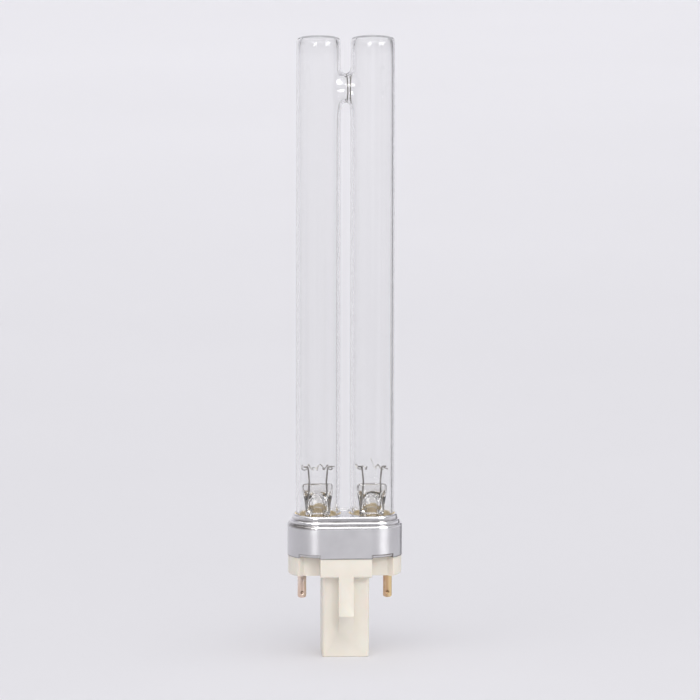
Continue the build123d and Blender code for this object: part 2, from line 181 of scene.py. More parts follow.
# The faces that look at the other leg are cut out at the neck's height, and the holes are made round.
middles = {face: face.calc_center_median() for face in glass.faces}
facing = [
    face for face, middle in middles.items()
    if abs(middle.z - neck_z) < neck_half and middle.x < -0.7 * inner
]
bmesh.ops.delete(glass, geom=facing, context="FACES")
for vert in {v for edge in glass.edges if edge.is_boundary for v in edge.verts}:
    outside = vert.co.xy.length > (outer + inner) / 2
    radius, rim = (outer, neck_rim) if outside else (inner, neck_rim - wall)
    turn = round(atan2(vert.co.z - neck_z, vert.co.y) / rim_step) * rim_step
    vert.co.y = rim * cos(turn)
    vert.co.z = neck_z + rim * sin(turn)
    vert.co.x = -sqrt(radius**2 - vert.co.y**2)
bmesh.ops.translate(glass, vec=(leg_x, 0, 0), verts=glass.verts)
twin = bmesh.ops.duplicate(glass, geom=glass.verts[:] + glass.edges[:] + glass.faces[:])["geom"]
bmesh.ops.scale(glass, vec=(-1, 1, 1), verts=points_of(twin))
# The neck is bridged outside and inside; where the two halves met, a seam is drawn in a little outside
# and stands as a bead inside.
rims = [edge for edge in glass.edges if edge.is_boundary]
for outside, waist, seam in ((True, neck_waist, 0.05), (False, neck_waist - wall, 0.12)):
    loops = [
        edge for edge in rims
        if ((edge.verts[0].co.yz - Vector((0, neck_z))).length > neck_rim - wall / 2) == outside
    ]
    bridge = bmesh.ops.bridge_loops(glass, edges=loops)["faces"]
    across = dict.fromkeys(
        edge for face in bridge for edge in face.edges
        if edge.verts[0].co.x * edge.verts[1].co.x < 0
    )
    rings = points_of(bmesh.ops.subdivide_edges(glass, edges=list(across), cuts=3)["geom_inner"])
    for vert in rings:
        out = (vert.co.yz - Vector((0, neck_z))).normalized()
        beside = 0 if abs(vert.co.x) < 0.05 else vert.co.x / abs(vert.co.x)
        reach = waist if beside else waist - seam
        vert.co = (waist_half * beside, reach * out.x, neck_z + reach * out.y)

# Clear quartz glass, drawn: colourless and fire-polished, so it shows as edge lines and reflections.
# Drawing leaves faint lengthwise lines, about 1.5 mm apart round the tube.
clear_glass = finish("clear_drawn_glass", Roughness=0.0, IOR=1.46, Transmission_Weight=1.0)
place = add(clear_glass, "ShaderNodeTexCoord")
along = add(clear_glass, "ShaderNodeMapping", {"Scale": (1, 1, 0.01)}, {"Vector": place.outputs["Object"]})
lines = add(
    clear_glass,
    "ShaderNodeTexNoise",
    {"Scale": 650.0, "Detail": 0.5},
    {"Vector": along.outputs["Vector"]},
)
ripple = add(
    clear_glass, "ShaderNodeBump", {"Strength": 0.006, "Distance": 0.0002}, {"Height": lines.outputs["Fac"]}
)
clarity = add(
    clear_glass,
    "ShaderNodeValToRGB",
    links={"Fac": lines.outputs["Fac"]},
    stops=[(0.3, "#fafafa"), (0.7, "#fdfdfd")],
)
# Two thin dark lines of painted shade lie on the front of the fused seam, standing for the edges
# its bead shows through the glass; 0.7 mm apart at the neck's middle, further at its top and foot.
# Materials measure in metres.
seam_x, seam_half, seam_flare = 0.00075, 0.00034, 16.0
seam_line, seam_reach = 0.00014, 0.0039
where = add(clear_glass, "ShaderNodeSeparateXYZ", links={"Vector": place.outputs["Object"]})
rise = add(clear_glass, "ShaderNodeMath", {1: -neck_z / 1000}, {0: where.outputs["Z"]}, operation="ADD")
risen = add(clear_glass, "ShaderNodeMath", {1: 2.0}, {0: rise.outputs["Value"]}, operation="POWER")
flare = add(
    clear_glass,
    "ShaderNodeMath",
    {1: seam_flare, 2: seam_half},
    {0: risen.outputs["Value"]},
    operation="MULTIPLY_ADD",
)
aside = add(clear_glass, "ShaderNodeMath", {1: -seam_x}, {0: where.outputs["X"]}, operation="ADD")
width = add(clear_glass, "ShaderNodeMath", links={0: aside.outputs["Value"]}, operation="ABSOLUTE")
# Painted shade: the seam's two dark lines, on the front only.
painted_seam_shade = add(
    clear_glass,
    "ShaderNodeMath",
    {2: seam_line},
    {0: width.outputs["Value"], 1: flare.outputs["Value"]},
    operation="COMPARE",
)
at_seam = add(
    clear_glass, "ShaderNodeMath", {1: seam_reach**2}, {0: risen.outputs["Value"]}, operation="LESS_THAN"
)
in_front = add(clear_glass, "ShaderNodeMath", {1: 0.0}, {0: where.outputs["Y"]}, operation="LESS_THAN")
near_side = add(
    clear_glass,
    "ShaderNodeMath",
    links={0: at_seam.outputs["Value"], 1: in_front.outputs["Value"]},
    operation="MULTIPLY",
)
line = add(
    clear_glass,
    "ShaderNodeMath",
    links={0: painted_seam_shade.outputs["Value"], 1: near_side.outputs["Value"]},
    operation="MULTIPLY",
)
tint = add(
    clear_glass,
    "ShaderNodeMix",
    {"B": linear("#6f6b64")},
    {"Factor": line.outputs["Value"], "A": clarity.outputs["Color"]},
    data_type="RGBA",
)
into(clear_glass, Normal=ripple.outputs["Normal"], Base_Color=tint.outputs["Result"])
envelope = piece("glass_envelope", glass, clear_glass, "clear_glass", "envelope")
soften(envelope, 3)
envelope.visible_shadow = False
envelope.visible_diffuse = False

# Stems. In the foot of each leg a flared glass tube is pressed flat while hot round the two wires,
# with the exhaust tube fused inside it, blown open at the top and tipped off below.
# Each ring is a height, a half width and a half depth.
stem_rows = [
    (46.3, 2.6, 0.45), (46.3, 4.05, 1.2), (45.2, 4.05, 1.25), (44.0, 4.0, 1.6), (42.4, 3.8, 2.5),
    (40.8, 3.4, 3.3), (36.5, 3.3, 3.3), (34.0, 3.6, 3.6), (32.2, 4.75, 4.75), (31.3, 4.9, 4.9),
    (31.0, 4.7, 4.7), (31.3, 4.45, 4.45), (32.4, 4.2, 4.2), (34.2, 3.05, 3.05), (36.5, 2.75, 2.75),
    (38.0, 2.7, 2.7), (38.7, 2.55, 2.55), (38.9, 2.35, 2.35), (38.7, 2.15, 2.15), (38.0, 2.0, 2.0),
    (36.0, 1.7, 1.7), (34.0, 1.6, 1.6), (28.0, 1.6, 1.6), (27.1, 1.4, 1.4), (27.0, 0.5, 0.5),
]
blowhole_rows = [
    (27.9, 0.5, 0.5), (28.2, 0.95, 0.95), (33.0, 1.0, 1.0), (36.0, 1.1, 1.1), (38.0, 1.25, 1.25),
    (39.3, 1.6, 1.6), (40.4, 1.95, 1.95), (41.6, 1.95, 1.95), (42.6, 1.6, 1.6), (43.2, 0.9, 0.9),
    (43.3, 0.35, 0.35),
]
press_foot, press_blend, press_rough = 40.0, 4.0, 0.3
# Pressed lead-free soft glass: clear, thick and uneven, with soft waves a few millimetres long.
stem_glass = finish("pressed_stem_glass", Roughness=0.0, IOR=1.5, Transmission_Weight=1.0)
place = add(stem_glass, "ShaderNodeTexCoord")
waves = add(
    stem_glass, "ShaderNodeTexNoise", {"Scale": 420.0, "Detail": 1.0}, {"Vector": place.outputs["Object"]}
)
ripple = add(
    stem_glass, "ShaderNodeBump", {"Strength": 0.6, "Distance": 0.0004}, {"Height": waves.outputs["Fac"]}
)
clarity = add(
    stem_glass,
    "ShaderNodeValToRGB",
    links={"Fac": waves.outputs["Fac"]},
    stops=[(0.3, "#f6f5f3"), (0.7, "#fcfbfa")],
)
into(stem_glass, Normal=ripple.outputs["Normal"], Base_Color=clarity.outputs["Color"])
# The unevenness of the press comes from a fixed seed, so that it is the same each run.
noise.seed_set(2)
for side, name in ((-1, "left"), (1, "right")):
    pressed = bmesh.new()
    stack(pressed, [(height, grow * wide, grow * deep) for height, wide, deep in stem_rows], sides)
    hole = stack(pressed, [(height, grow * wide, grow * deep) for height, wide, deep in blowhole_rows], sides)
    bmesh.ops.translate(pressed, vec=(side * leg_x, 0, 0), verts=pressed.verts)
    for vert in pressed.verts:
        # The hot press leaves the flat part uneven, less so through its thickness.
        rough = min(max((vert.co.z - press_foot) / press_blend, 0), 1) * press_rough
        pulled = noise.noise_vector(0.6 * vert.co + Vector((0, 5, 9 * side)))
        vert.co += rough * Vector(pulled) * Vector((1, 0.4, 1))
    bore = dict.fromkeys(face for vert in hole for face in vert.link_faces)
    made = piece(f"{name}_pressed_stem", pressed, stem_glass, "stem_glass", f"{name}_stem", hollow=bore)
    soften(made, 3)
    made.visible_shadow = False
    made.visible_diffuse = False

# Lead-in wires. Four nickel-iron wires pass through the presses; their tops are hooked to hold the
# cathodes, and below the stems the outer pair runs to the pins and the inner pair to the starter.


def carried(node):
    """A merged copy of a solid's own mesh, in millimetres, with its flat faces whole again."""
    bm = bmesh.new()
    bm.from_mesh(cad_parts[node].data)
    bmesh.ops.scale(bm, vec=(1000, 1000, 1000), verts=bm.verts)
    bmesh.ops.remove_doubles(bm, verts=bm.verts, dist=weld)
    bmesh.ops.dissolve_limit(bm, angle_limit=radians(0.4), verts=bm.verts, edges=bm.edges)
    return bm


# Nickel-iron wire, dulled brown-grey by the heat of sealing, with darker patches about 2 mm long.
lead_wire = finish("sealing_wire", Metallic=1.0, Roughness=0.42)
place = add(lead_wire, "ShaderNodeTexCoord")
patches = add(
    lead_wire, "ShaderNodeTexNoise", {"Scale": 500.0, "Detail": 4.0}, {"Vector": place.outputs["Object"]}
)
dull = add(
    lead_wire,
    "ShaderNodeValToRGB",
    links={"Fac": patches.outputs["Fac"]},
    stops=[(0.35, "#6f6b68"), (0.65, "#9a9692")],
)
into(lead_wire, Base_Color=dull.outputs["Color"])
for name in ("left_outer_lead", "left_inner_lead", "right_inner_lead", "right_outer_lead"):
    made = piece(f"{name}_wire", carried(name), lead_wire, "lead_wire", name)
    made.data.set_sharp_from_angle(angle=radians(50))

# Cathodes. Each is a loose coil of thin tungsten wire hung over the hooks of its two wires and
# dipped in a chalky emitter coat, which flakes and greys with use.
coil_z = 50.7
coil_radius = 0.6
coil_wire = 0.15
coil_pitch = 1.65
coil_steps = 24
# The left one is whole; the right one has burnt through a little left of its middle. Each stretch runs
# from one place to another along the lamp's width, and a stretch that ends free curls up there.
coils = {"left": [(-11.4, -3.1, 0.0)], "right": [(3.1, 6.1, 0.0), (7.3, 11.4, 1.5)]}
# Handling and heat have pulled the turns about and sagged them unevenly, in waves about 2 mm long.
wave, pull, sag, slack, squash = 0.55, 0.9, 0.7, 0.95, 0.5
curl_reach = 0.8
margin = 0.5
# Tungsten wire, dark where it is bare and off-white where patches of coat about 1 mm long are left.
cathode = finish("coated_tungsten", Metallic=0.35, Roughness=0.6)
place = add(cathode, "ShaderNodeTexCoord")
patches = add(
    cathode, "ShaderNodeTexNoise", {"Scale": 900.0, "Detail": 3.0}, {"Vector": place.outputs["Object"]}
)
coat = add(
    cathode,
    "ShaderNodeValToRGB",
    links={"Fac": patches.outputs["Fac"]},
    stops=[(0.42, "#6b6765"), (0.62, "#dad7d2")],
)
crust = add(
    cathode, "ShaderNodeBump", {"Strength": 0.6, "Distance": 0.0001}, {"Height": patches.outputs["Fac"]}
)
into(cathode, Base_Color=coat.outputs["Color"], Normal=crust.outputs["Normal"])
for name, stretches in coils.items():
    coil = bmesh.new()
    for start_x, stop_x, curl in stretches:
        turns = (stop_x - start_x) / coil_pitch
        steps = round(coil_steps * turns)
        section = bmesh.ops.create_circle(coil, segments=8, radius=coil_wire)["verts"]
        upright = Matrix.Translation((start_x, 0, coil_z + coil_radius)) @ Matrix.Rotation(pi / 2, 4, "X")
        bmesh.ops.transform(coil, matrix=upright, verts=section)
        bmesh.ops.spin(
            coil,
            geom=ring_edges(section),
            cent=(start_x, 0, coil_z),
            axis=(1, 0, 0),
            dvec=((stop_x - start_x) / steps, 0, 0),
            angle=2 * pi * turns,
            steps=steps,
        )
        for vert in coil.verts:
            if start_x - margin < vert.co.x < stop_x + margin:
                along = wave * vert.co.x
                squeeze = slack + squash * noise.noise((along, 0, 4))
                free = curl * max(1 - (vert.co.x - start_x) / curl_reach, 0) ** 2
                lift = sag * noise.noise((along, 7, 0)) + free
                vert.co.x += pull * noise.noise((along, vert.co.y, vert.co.z - coil_z))
                vert.co.y *= squeeze
                vert.co.z = coil_z + squeeze * (vert.co.z - coil_z) + lift
    bmesh.ops.holes_fill(coil, edges=coil.edges)
    piece(f"{name}_cathode_coil", coil, cathode, "tungsten", f"{name}_filament")

# Ferrule. A cap drawn from bright aluminium sheet, with a stepped rim and two holes for the legs,
# pushed over the moulding's spigot and crimped inwards at four places round its lower edge.
end_x = 6.65
end_radius = 8.75
cap_foot = 27.2
cap_top = 38.4
fold_z = 28.4
hole_radius = 6.25
hole_sides = 96
end_steps = 72
low_step, low_shelf = 0.65, 35.95
high_step, high_shelf = 1.3, 37.0
# Each corner of the sheet's section: how far it is in from the side, its height, and how far it is rounded.
rim_steps = [
    (0.0, cap_foot, 0.0), (0.0, 27.5, 0.0), (0.0, 27.8, 0.0), (0.0, 28.05, 0.0), (0.0, 28.17, 0.0),
    (0.0, 28.28, 0.0), (0.0, fold_z, 0.0), (0.0, 28.7, 0.0), (0.0, 34.95, 0.0),
    (0.0, low_shelf, 0.5), (low_step, low_shelf, 0.12), (low_step, high_shelf, 0.5),
    (high_step, high_shelf, 0.12), (high_step, cap_top, 0.5), (1.85, cap_top, 0.0),
]
sheet = bmesh.new()
profile = [sheet.verts.new((end_x, inset - end_radius, height)) for inset, height, _ in rim_steps]
for low, high in pairwise(profile):
    sheet.edges.new((low, high))
for corner, (_, _, bend) in zip(profile, rim_steps):
    if bend:
        bmesh.ops.bevel(
            sheet, geom=[corner], offset=bend, segments=4, profile=0.5, affect="VERTICES", material=-1
        )
edges = sheet.edges[:]
for centre in (end_x, -end_x):
    swung = bmesh.ops.spin(
        sheet, geom=edges, cent=(centre, 0, 0), axis=(0, 0, 1), angle=pi, steps=end_steps
    )["geom_last"]
    last = [part for part in swung if isinstance(part, bmesh.types.BMEdge)]
    grown = bmesh.ops.extrude_edge_only(sheet, edges=last)["geom"]
    bmesh.ops.translate(sheet, vec=(-2 * centre, 0, 0), verts=points_of(grown))
    edges = edges_of(grown)
bmesh.ops.remove_doubles(sheet, verts=sheet.verts, dist=weld)
# Grime lies along the cut edge, with painted shade there too for the gap to the moulding. Painted shade
# darkens the rim's two inner corners, the fold and both ends of each crimp, and a band under the rim at the
# left end.
edge_dirt_and_shade, corner_shade, under_rim_shade, crimp_end_shade = 0.85, 0.62, 0.6, 0.8
corner_reach = 0.14
dirt_and_shade = sheet.verts.layers.float.new("dirt_and_shade")
for vert in sheet.verts:
    inset = end_radius - sqrt(max(abs(vert.co.x) - end_x, 0) ** 2 + vert.co.y**2)
    in_corner = any(
        abs(vert.co.z - shelf) < corner_reach and abs(inset - step) < corner_reach
        for step, shelf in ((low_step, low_shelf), (high_step, high_shelf))
    )
    under_left_rim = vert.co.x < -8.5 and vert.co.y < 2 and 35.2 < vert.co.z < 36.1
    at_edge = vert.co.z < cap_foot + 0.01
    vert[dirt_and_shade] = edge_dirt_and_shade if at_edge else corner_shade if in_corner else under_rim_shade if under_left_rim else 0.0
# Each crimp folds the lowest strip in by 38 degrees, between 3 and 42 degrees round from the front.
fold = radians(38)
fold_length = 0.35
fold_radius = fold_length / fold
fold_line = (0.1, 0.25)
crimp_start, crimp_stop, crimp_blend = 2.0, 43.0, 2.5
for vert in sheet.verts:
    below = fold_z - vert.co.z
    round_from = abs(vert.co.x) - end_x
    if below > 0.01 and round_from > 0:
        out = Vector((round_from * (1 if vert.co.x > 0 else -1), vert.co.y, 0)).normalized()
        past_front = asin(min(abs(out.x), 1)) * 180 / pi
        share = min(max((past_front - crimp_start) / crimp_blend, 0), 1)
        share *= min(max((crimp_stop - past_front) / crimp_blend, 0), 1)
        share = share * share * (3 - 2 * share)
        turned = fold * min(below / fold_length, 1)
        past_fold = max(below - fold_length, 0)
        # The fold line and both ends of each crimp get painted shade.
        if fold_line[0] < below < fold_line[1]:
            vert[dirt_and_shade] = share
        if 0.02 < share < 0.98:
            vert[dirt_and_shade] = crimp_end_shade
        vert.co -= out * share * (fold_radius * (1 - cos(turned)) + past_fold * sin(fold))
        vert.co.z += share * (below - fold_radius * sin(turned) - past_fold * cos(fold))
top_edges = [edge for edge in sheet.edges if edge.is_boundary and edge.verts[0].co.z > cap_top - 0.01]
for side in (-1, 1):
    hole = bmesh.ops.create_circle(
        sheet, segments=hole_sides, radius=hole_radius, matrix=Matrix.Translation((side * leg_x, 0, cap_top))
    )["verts"]
    top_edges += ring_edges(hole)
bmesh.ops.triangle_fill(sheet, edges=top_edges, use_beauty=True, normal=(0, 0, 1))

# Bright drawn aluminium: a soft mirror polished round the cap, which draws its lights out into upright
# bands, with faint marks about 0.4 mm apart and patches of handling haze.
aluminium = finish("drawn_aluminium", Metallic=1.0, Anisotropic=0.85, Anisotropic_Rotation=0.25)
place = add(aluminium, "ShaderNodeTexCoord")
round_cap = add(aluminium, "ShaderNodeTangent", direction_type="RADIAL", axis="Z")
level = add(aluminium, "ShaderNodeMapping", {"Scale": (0.06, 0.06, 1)}, {"Vector": place.outputs["Object"]})
marks = add(
    aluminium, "ShaderNodeTexNoise", {"Scale": 2500.0, "Detail": 3.0}, {"Vector": level.outputs["Vector"]}
)
haze = add(
    aluminium, "ShaderNodeTexNoise", {"Scale": 160.0, "Detail": 5.0}, {"Vector": place.outputs["Object"]}
)
tone = add(
    aluminium,
    "ShaderNodeValToRGB",
    links={"Fac": haze.outputs["Fac"]},
    stops=[(0.3, "#d4d3d5"), (0.7, "#dfdee0")],
)
gloss = add(
    aluminium,
    "ShaderNodeMapRange",
    {"From Min": 0.3, "From Max": 0.7, "To Min": 0.3, "To Max": 0.4},
    {"Value": haze.outputs["Fac"]},
)
# The tool that drew the rim burnished it smoother; a painted highlight also lightens its colour, so the rim
# is the brightest part.
rim_foot, rim_clear, rim_polish = 0.0350, 0.0356, 0.19
where = add(aluminium, "ShaderNodeSeparateXYZ", links={"Vector": place.outputs["Object"]})
burnish_and_highlight = add(
    aluminium,
    "ShaderNodeMapRange",
    {"From Min": rim_foot, "From Max": rim_clear},
    {"Value": where.outputs["Z"]},
)
polish = add(
    aluminium,
    "ShaderNodeMath",
    {1: -rim_polish},
    {0: burnish_and_highlight.outputs["Result"], 2: gloss.outputs["Result"]},
    operation="MULTIPLY_ADD",
)
rim_highlight = add(
    aluminium,
    "ShaderNodeMix",
    {"B": linear("#f4f3f5")},
    {"Factor": burnish_and_highlight.outputs["Result"], "A": tone.outputs["Color"]},
    data_type="RGBA",
)
# Grime at the cut edge, and painted shade in the corners, fold, crimp ends and under the left rim, darken the
# sheet to a brown grey.
dirt_and_shade_attribute = add(aluminium, "ShaderNodeAttribute", attribute_name="dirt_and_shade")
patchy = add(
    aluminium,
    "ShaderNodeMapRange",
    {"From Min": 0.35, "From Max": 0.65, "To Min": 0.45, "To Max": 1.25},
    {"Value": haze.outputs["Fac"]},
)
dirt_and_shade_share = add(
    aluminium,
    "ShaderNodeMath",
    links={0: dirt_and_shade_attribute.outputs["Fac"], 1: patchy.outputs["Result"]},
    operation="MULTIPLY",
    use_clamp=True,
)
dirt_and_shade_colour = add(
    aluminium,
    "ShaderNodeMix",
    {"B": linear("#54493f")},
    {"Factor": dirt_and_shade_share.outputs["Value"], "A": rim_highlight.outputs["Result"]},
    data_type="RGBA",
)
# Drawing left the sheet in soft waves about 6 mm long.
waves = add(
    aluminium, "ShaderNodeBump", {"Strength": 0.2, "Distance": 0.0003}, {"Height": haze.outputs["Fac"]}
)
scratch = add(
    aluminium,
    "ShaderNodeBump",
    {"Strength": 0.06, "Distance": 0.0001},
    {"Height": marks.outputs["Fac"], "Normal": waves.outputs["Normal"]},
)
into(
    aluminium,
    Base_Color=dirt_and_shade_colour.outputs["Result"],
    Roughness=polish.outputs["Value"],
    Normal=scratch.outputs["Normal"],
    Tangent=round_cap.outputs["Tangent"],
)
ferrule = piece("drawn_ferrule", sheet, aluminium, "aluminium", "ferrule")
ferrule.data.set_sharp_from_angle(angle=radians(35))
sheet_wall = ferrule.modifiers.new("wall", "SOLIDIFY")
sheet_wall.thickness = 0.0004
sheet_wall.offset = -1
sheet_wall.use_even_offset = True

# Capping cement. A tan filled-resin cement, poured and baked round the legs inside the cap; it shows
# as a thin collar in the two holes and through the glass.
# Filled resin, baked: matt and tan, with a coarse grain of about 0.7 mm.
cement = finish("capping_cement", Roughness=0.85)
place = add(cement, "ShaderNodeTexCoord")
grit = add(
    cement, "ShaderNodeTexNoise", {"Scale": 1400.0, "Detail": 6.0}, {"Vector": place.outputs["Object"]}
)
baked = add(
    cement,
    "ShaderNodeValToRGB",
    links={"Fac": grit.outputs["Fac"]},
    stops=[(0.3, "#cbb58a"), (0.7, "#e2d2af")],
)
rough = add(cement, "ShaderNodeBump", {"Strength": 0.7, "Distance": 0.0002}, {"Height": grit.outputs["Fac"]})
into(cement, Base_Color=baked.outputs["Color"], Normal=rough.outputs["Normal"])
made = piece("cement_fill", carried("capping_cement"), cement, "cement", "capping_cement")
made.data.set_sharp_from_angle(angle=radians(30))

# Base moulding. One injection moulding in cream polyester: the oval skirt with pockets under the
# crimps, the hollow post and the sprung ribs that a lampholder grips.
# Moulded polyester: a soft sheen over a slightly translucent cream, clouded over about 8 mm, with a mould
# texture of about 0.2 mm.
cream = finish("cream_polyester", Roughness=0.4, IOR=1.55, Subsurface_Weight=0.15, Subsurface_Scale=0.0008)
place = add(cream, "ShaderNodeTexCoord")
clouds = add(
    cream, "ShaderNodeTexNoise", {"Scale": 120.0, "Detail": 3.0}, {"Vector": place.outputs["Object"]}
)
spark = add(
    cream, "ShaderNodeTexNoise", {"Scale": 5000.0, "Detail": 2.0}, {"Vector": place.outputs["Object"]}
)
pigment = add(
    cream,
    "ShaderNodeValToRGB",
    links={"Fac": clouds.outputs["Fac"]},
    stops=[(0.3, "#e2dbce"), (0.7, "#e7e1d5")],
)
texture = add(
    cream, "ShaderNodeBump", {"Strength": 0.08, "Distance": 0.00005}, {"Height": spark.outputs["Fac"]}
)
into(cream, Base_Color=pigment.outputs["Color"], Normal=texture.outputs["Normal"])
base = piece("base_moulding", carried("base"), cream, "cream_plastic", "base")
edge_round = base.modifiers.new("edges", "BEVEL")
edge_round.width = 0.00015
edge_round.segments = 2
edge_round.limit_method = "ANGLE"
edge_round.angle_limit = radians(35)
edge_round.harden_normals = True

# Contact pins. Hollow brass pins moulded into the skirt; each is dimpled near its tip to grip the
# wire that comes down inside it.
# Drawn brass: a dull gloss, tarnished in patches about 2.6 mm long, and dullest where it is darkest.
brass = finish("drawn_brass", Metallic=1.0)
place = add(brass, "ShaderNodeTexCoord")
tarnish = add(
    brass, "ShaderNodeTexNoise", {"Scale": 380.0, "Detail": 4.0}, {"Vector": place.outputs["Object"]}
)
hue = add(
    brass,
    "ShaderNodeValToRGB",
    links={"Fac": tarnish.outputs["Fac"]},
    stops=[(0.3, "#dab797"), (0.7, "#e8ceb5")],
)
# Painted light makes the right pin yellower and lighter on its outer side, the side towards the lights.
lit_side_start, lit_side_stop = 0.0111, 0.0121
where = add(brass, "ShaderNodeSeparateXYZ", links={"Vector": place.outputs["Object"]})
lit_side = add(
    brass, "ShaderNodeMapRange", {"From Min": lit_side_start, "From Max": lit_side_stop}, {"Value": where.outputs["X"]}
)
lit_side_colour = add(
    brass,
    "ShaderNodeMix",
    {"B": linear("#edd2a0")},
    {"Factor": lit_side.outputs["Result"], "A": hue.outputs["Color"]},
    data_type="RGBA",
)
# A streak of painted shade darkens it a little left of its middle, on the side turned from the lights.
streak_x, streak_half = 0.0113, 0.00045
off_streak = add(brass, "ShaderNodeMath", {1: -streak_x}, {0: where.outputs["X"]}, operation="ADD")
from_streak = add(brass, "ShaderNodeMath", links={0: off_streak.outputs["Value"]}, operation="ABSOLUTE")
shade_streak = add(
    brass,
    "ShaderNodeMapRange",
    {"From Min": streak_half, "From Max": 0.3 * streak_half, "To Max": 0.55},
    {"Value": from_streak.outputs["Value"]},
)
shade_streaked = add(
    brass,
    "ShaderNodeMix",
    {"B": linear("#c49c6c")},
    {"Factor": shade_streak.outputs["Result"], "A": lit_side_colour.outputs["Result"]},
    data_type="RGBA",
)
# The left pin has tarnished less and is paler and pinker than the right one.
on_left = add(brass, "ShaderNodeMath", {1: 0.0}, {0: where.outputs["X"]}, operation="LESS_THAN")
pinker = add(
    brass,
    "ShaderNodeValToRGB",
    links={"Fac": tarnish.outputs["Fac"]},
    stops=[(0.3, "#e6ccba"), (0.7, "#f3e2d5")],
)
shade = add(
    brass,
    "ShaderNodeMix",
    links={
        "Factor": on_left.outputs["Value"],
        "A": shade_streaked.outputs["Result"],
        "B": pinker.outputs["Color"],
    },
    data_type="RGBA",
)
# Painted shade darkens the dimples.
dimple_reach, dimple_rise = 0.00055, 0.0015
either = add(brass, "ShaderNodeMath", links={0: where.outputs["X"]}, operation="ABSOLUTE")
folded = add(
    brass, "ShaderNodeCombineXYZ", links={"X": either.outputs["Value"], "Z": where.outputs["Z"]}
)
lowest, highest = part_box("right_pin")
dimple = ((lowest[0] + highest[0]) / 2, 0.0, lowest[2] + dimple_rise)
away = add(brass, "ShaderNodeVectorMath", {1: dimple}, {0: folded.outputs["Vector"]}, operation="DISTANCE")
dimple_shade = add(
    brass,
    "ShaderNodeMapRange",
    {"From Min": dimple_reach, "From Max": 0.6 * dimple_reach, "To Max": 0.6},
    {"Value": away.outputs["Value"]},
)
dimple_shaded = add(
    brass,
    "ShaderNodeMix",
    {"B": linear("#755a42")},
    {"Factor": dimple_shade.outputs["Result"], "A": shade.outputs["Result"]},
    data_type="RGBA",
)
gloss = add(
    brass,
    "ShaderNodeMapRange",
    {"From Min": 0.3, "From Max": 0.7, "To Min": 0.38, "To Max": 0.24},
    {"Value": tarnish.outputs["Fac"]},
)
into(brass, Base_Color=dimple_shaded.outputs["Result"], Roughness=gloss.outputs["Result"])
for name in ("left_pin", "right_pin"):
    made = piece(f"brass_{name}", carried(name), brass, "brass", name)
    made.data.set_sharp_from_angle(angle=radians(40))

# Starter. Hidden in the hollow post: a glow bottle with its bimetal strip on two wires, and beside it
# the small capacitor that keeps its sparks off the radio. These solids keep their own shapes.
# For each finish: its solids, its darker and lighter colours, roughness, metallic and transmission.
hidden_finishes = {
    "glow_bottle_glass": (("starter_bottle",), "#e8efe9", "#f4f8f4", 0.02, 0.0, 1.0),
    "bimetal_strip": (("starter_bimetal",), "#8f8b86", "#b3aea6", 0.35, 1.0, 0.0),
    "capacitor_lacquer": (("capacitor",), "#8a4f2c", "#a8683c", 0.4, 0.0, 0.0),
    "tinned_wire": (
        ("starter_left_lead", "starter_right_lead", "capacitor_leads"), "#a9a9ab", "#cfcfd1", 0.3, 1.0, 0.0
    ),
}
for name, (nodes, dark, light, gloss, metal, clear) in hidden_finishes.items():
    # Each has soft patches about 1 mm long, as lacquer, tin and heat-tinted strip have.
    hidden = finish(name, Roughness=gloss, Metallic=metal, Transmission_Weight=clear)
    place = add(hidden, "ShaderNodeTexCoord")
    patches = add(
        hidden, "ShaderNodeTexNoise", {"Scale": 900.0, "Detail": 3.0}, {"Vector": place.outputs["Object"]}
    )
    hue = add(
        hidden,
        "ShaderNodeValToRGB",
        links={"Fac": patches.outputs["Fac"]},
        stops=[(0.35, dark), (0.65, light)],
    )
    into(hidden, Base_Color=hue.outputs["Color"])
    for node in nodes:
        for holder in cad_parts[node].material_slots:
            holder.material = hidden

# Stage. A seamless sheet of pale matt paper, laid on the floor and curved up behind the lamp, with the lights
# round it; none of it is part of the lamp.
# Matt paper, nearly white, whose tone drifts a little over about 250 mm.
paper = finish("pale_paper", Roughness=0.95)
place = add(paper, "ShaderNodeTexCoord")
fibre = add(paper, "ShaderNodeTexNoise", {"Scale": 4.0, "Detail": 3.0}, {"Vector": place.outputs["Object"]})
pale = add(
    paper,
    "ShaderNodeValToRGB",
    links={"Fac": fibre.outputs["Fac"]},
    stops=[(0.2, "#e6e5e9"), (0.8, "#eae9ed")],
)
into(paper, Base_Color=pale.outputs["Color"])
half_width, front_y, floor_depth, curve_radius, wall_height = 4.0, -3.0, 4.5, 1.2, 3.0
sweep = bmesh.new()
front_edge = sweep.edges.new([sweep.verts.new((x, front_y, 0)) for x in (-half_width, half_width)])
grown = bmesh.ops.extrude_edge_only(sweep, edges=[front_edge])["geom"]
bmesh.ops.translate(sweep, vec=(0, floor_depth, 0), verts=points_of(grown))
swung = bmesh.ops.spin(
    sweep,
    geom=edges_of(grown),
    cent=(0, front_y + floor_depth, curve_radius),
    axis=(1, 0, 0),
    angle=radians(90),
    steps=24,
)["geom_last"]
last = [part for part in swung if isinstance(part, bmesh.types.BMEdge)]
grown = bmesh.ops.extrude_edge_only(sweep, edges=last)["geom"]
bmesh.ops.translate(sweep, vec=(0, 0, wall_height), verts=points_of(grown))
bmesh.ops.recalc_face_normals(sweep, faces=sweep.faces)
mesh = bpy.data.meshes.new("paper_sweep")
sweep.to_mesh(mesh)
sweep.free()
mesh.shade_smooth()
mesh.materials.append(paper)
backdrop = bpy.data.objects.new("paper_sweep", mesh)
bpy.context.collection.objects.link(backdrop)


